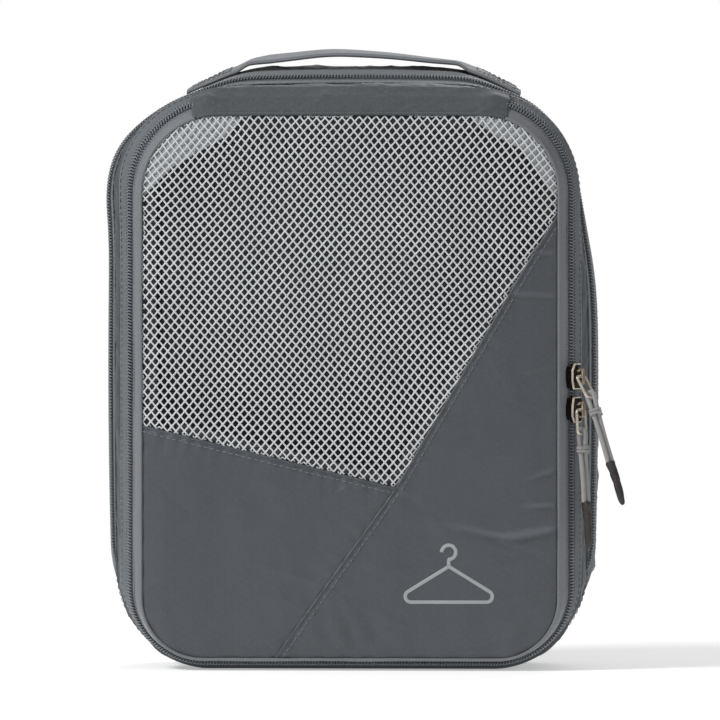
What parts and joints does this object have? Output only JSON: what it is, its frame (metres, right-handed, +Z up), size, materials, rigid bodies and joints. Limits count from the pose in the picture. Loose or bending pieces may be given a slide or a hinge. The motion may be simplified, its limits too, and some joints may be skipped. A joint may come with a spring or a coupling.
{
  "type": "packing cube",
  "caption": "Zippered compression packing cube with a mesh window flap, cloth hinge, two zips with corded pulls and a webbing grab handle.",
  "frame": {"origin": "middle of the underside that the cube stands on", "axes": "+Z up towards the handle, the mesh flap faces -Y, +X is to the right when facing the flap"},
  "size_m": [0.2215, 0.0864, 0.2646],
  "materials": {
    "ripstop": "grey ripstop nylon, slight sheen",
    "mesh": "light grey diamond mesh",
    "gusset_cloth": "grey ripstop nylon, slight sheen",
    "zip_tape": "smooth woven polyester tape",
    "binding": "dark woven bias tape",
    "webbing": "grey woven webbing",
    "cord": "braided light grey cord",
    "zip_coil": "dark grey nylon coil",
    "slider_metal": "gunmetal plated zinc",
    "wire": "plated steel wire",
    "cord_end": "black moulded plastic"
  },
  "bodies": {
    "rear_shell": {"rear_gusset": "gusset_cloth", "back_panel": "ripstop", "back_seam_binding": "binding", "comp_zip_tape_rear": "zip_tape", "comp_zip_coil_rear": "zip_coil", "expansion_gusset": "gusset_cloth", "handle_end_left": "webbing", "handle_end_right": "webbing"},
    "front_frame": {"mid_gusset": "gusset_cloth", "comp_zip_tape_front": "zip_tape", "comp_zip_coil_front": "zip_coil", "main_zip_tape_rear": "zip_tape", "main_zip_coil_rear": "zip_coil", "hinge_band_rear": "gusset_cloth", "mid_seam_binding": "binding"},
    "front_flap": {"main_zip_tape_front": "zip_tape", "main_zip_coil_front": "zip_coil", "hinge_band_front": "gusset_cloth", "front_seam_binding": "binding", "mesh_window": "mesh", "lower_left_panel": "ripstop", "lower_right_panel": "ripstop", "panel_seam_binding": "binding"},
    "handle": {"handle_webbing": "webbing"},
    "upper_slider": {"main_slider_upper": "slider_metal"},
    "lower_slider": {"main_slider_lower": "slider_metal"},
    "upper_ring": {"pull_ring_upper": "wire"},
    "lower_ring": {"pull_ring_lower": "wire"},
    "upper_cord": {"pull_cord_upper": "cord", "cord_end_upper": "cord_end"},
    "lower_cord": {"pull_cord_lower": "cord", "cord_end_lower": "cord_end"},
    "bottom_slider": {"comp_slider": "slider_metal"},
    "bottom_ring": {"comp_pull_ring": "wire"},
    "bottom_cord": {"comp_pull_cord": "cord", "comp_cord_end": "cord_end"}
  },
  "joints": [
    {"name": "expansion", "type": "slide", "parent": "rear_shell", "child": "front_frame", "axis": [0, -1, 0], "range_m": [0, 0.04], "deforming": ["expansion_gusset"]},
    {"name": "flap_hinge", "type": "hinge", "parent": "front_frame", "child": "front_flap", "pos_m": [0, -0.029, 0.243], "axis": [-1, 0, 0], "range_deg": [0, 160]},
    {"name": "handle_tilt", "type": "hinge", "parent": "rear_shell", "child": "handle", "pos_m": [0, 0.013, 0.258], "axis": [1, 0, 0], "range_deg": [-20, 20]},
    {"name": "upper_slider_travel", "type": "slide", "parent": "front_frame", "child": "upper_slider", "axis": [0, 0, 1], "range_m": [0, 0.07]},
    {"name": "upper_ring_lift", "type": "hinge", "parent": "upper_slider", "child": "upper_ring", "pos_m": [0.09741, -0.03188, 0.1244], "axis": [-0.5655, -0.8247, 0], "range_deg": [0, 110]},
    {"name": "upper_cord_swing", "type": "hinge", "parent": "upper_ring", "child": "upper_cord", "pos_m": [0.10178, -0.03488, 0.11592], "axis": [-0.5655, -0.8247, 0], "range_deg": [0, 45]},
    {"name": "lower_slider_travel", "type": "slide", "parent": "front_frame", "child": "lower_slider", "axis": [0, 0, 1], "range_m": [-0.048, 0]},
    {"name": "lower_ring_swing", "type": "hinge", "parent": "lower_slider", "child": "lower_ring", "pos_m": [0.09741, -0.03188, 0.1103], "axis": [0.8247, -0.5655, 0], "range_deg": [-28, 28]},
    {"name": "lower_cord_swing", "type": "hinge", "parent": "lower_ring", "child": "lower_cord", "pos_m": [0.09798, -0.03228, 0.10032], "axis": [-0.5655, -0.8247, 0], "range_deg": [0, 12]},
    {"name": "bottom_slider_travel", "type": "slide", "parent": "rear_shell", "child": "bottom_slider", "axis": [1, 0, 0], "range_m": [-0.02, 0.012]},
    {"name": "bottom_ring_lift", "type": "hinge", "parent": "bottom_slider", "child": "bottom_ring", "pos_m": [-0.025, -0.006, 0.0034], "axis": [0, 1, 0], "range_deg": [0, 120]},
    {"name": "bottom_cord_swing", "type": "hinge", "parent": "bottom_ring", "child": "bottom_cord", "pos_m": [-0.015, -0.006, 0.0034], "axis": [0, 1, 0], "range_deg": [0, 45]}
  ]
}
